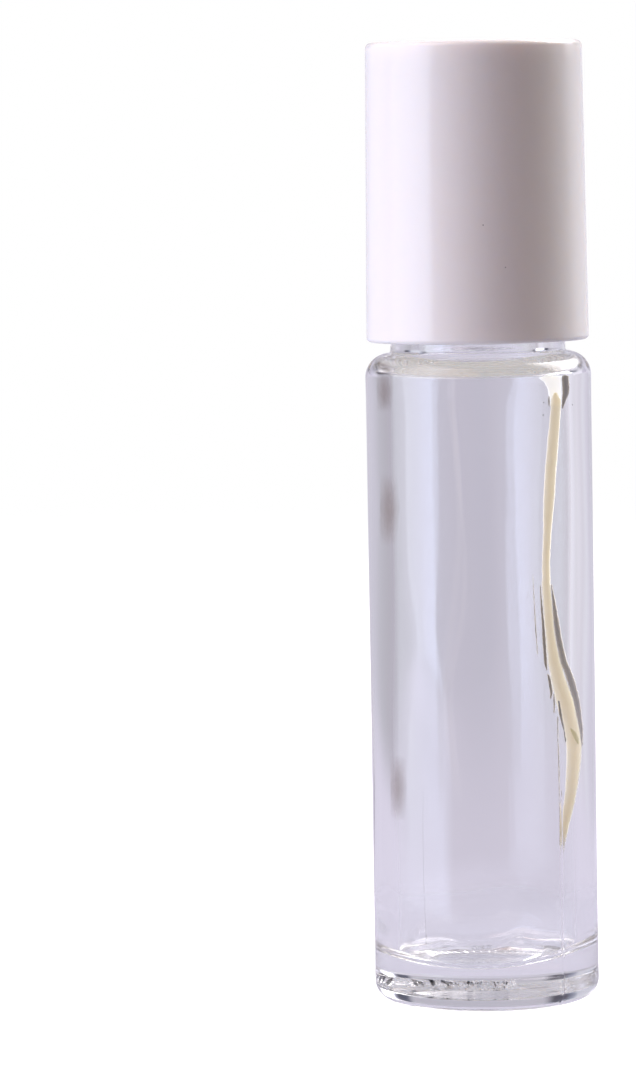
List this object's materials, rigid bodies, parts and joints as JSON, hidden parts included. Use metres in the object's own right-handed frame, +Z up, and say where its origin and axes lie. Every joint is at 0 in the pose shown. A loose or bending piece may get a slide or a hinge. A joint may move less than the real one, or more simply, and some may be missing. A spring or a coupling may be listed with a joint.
{
  "type": "roll on bottle",
  "caption": "Small thick-walled glass bottle with a rolling ball fitment in its neck and a tall white screw cap.",
  "frame": {"origin": "centre of the base, on the surface that the bottle stands on", "axes": "+Z up along the bottle's axis; -Y is the front that the picture looks at, +X is to the right"},
  "size_m": [0.02, 0.02, 0.085],
  "materials": {
    "clear_glass": "clear polished glass with a slightly uneven inside wall",
    "natural_plastic": "translucent natural polyethylene",
    "ball_steel": "polished steel ball",
    "white_plastic": "glossy white polypropylene",
    "insert_plastic": "satin white polypropylene",
    "seal_foam": "soft closed-cell polyethylene foam"
  },
  "bodies": {
    "bottle": {"glass_bottle": "clear_glass", "roller_housing": "natural_plastic"},
    "ball": {"roller_ball": "ball_steel"},
    "seal": {"ball_seal": "seal_foam"},
    "cap": {"cap_shell": "white_plastic", "cap_insert": "insert_plastic"}
  },
  "joints": [
    {"name": "ball_roll", "type": "hinge", "parent": "bottle", "child": "ball", "pos_m": [0, 0, 0.0733], "axis": [1, 0, 0], "continuous": true},
    {"name": "cap_lift", "type": "slide", "parent": "bottle", "child": "seal", "axis": [0, 0, 1], "range_m": [0, 0.0225]},
    {"name": "cap_turn", "type": "hinge", "parent": "seal", "child": "cap", "pos_m": [0, 0, 0.0586], "axis": [0, 0, 1], "range_deg": [0, 3240]}
  ],
  "couplings": [
    {"joint": "cap_lift", "follows": "cap_turn", "m_per_rad": 0.00039789}
  ]
}
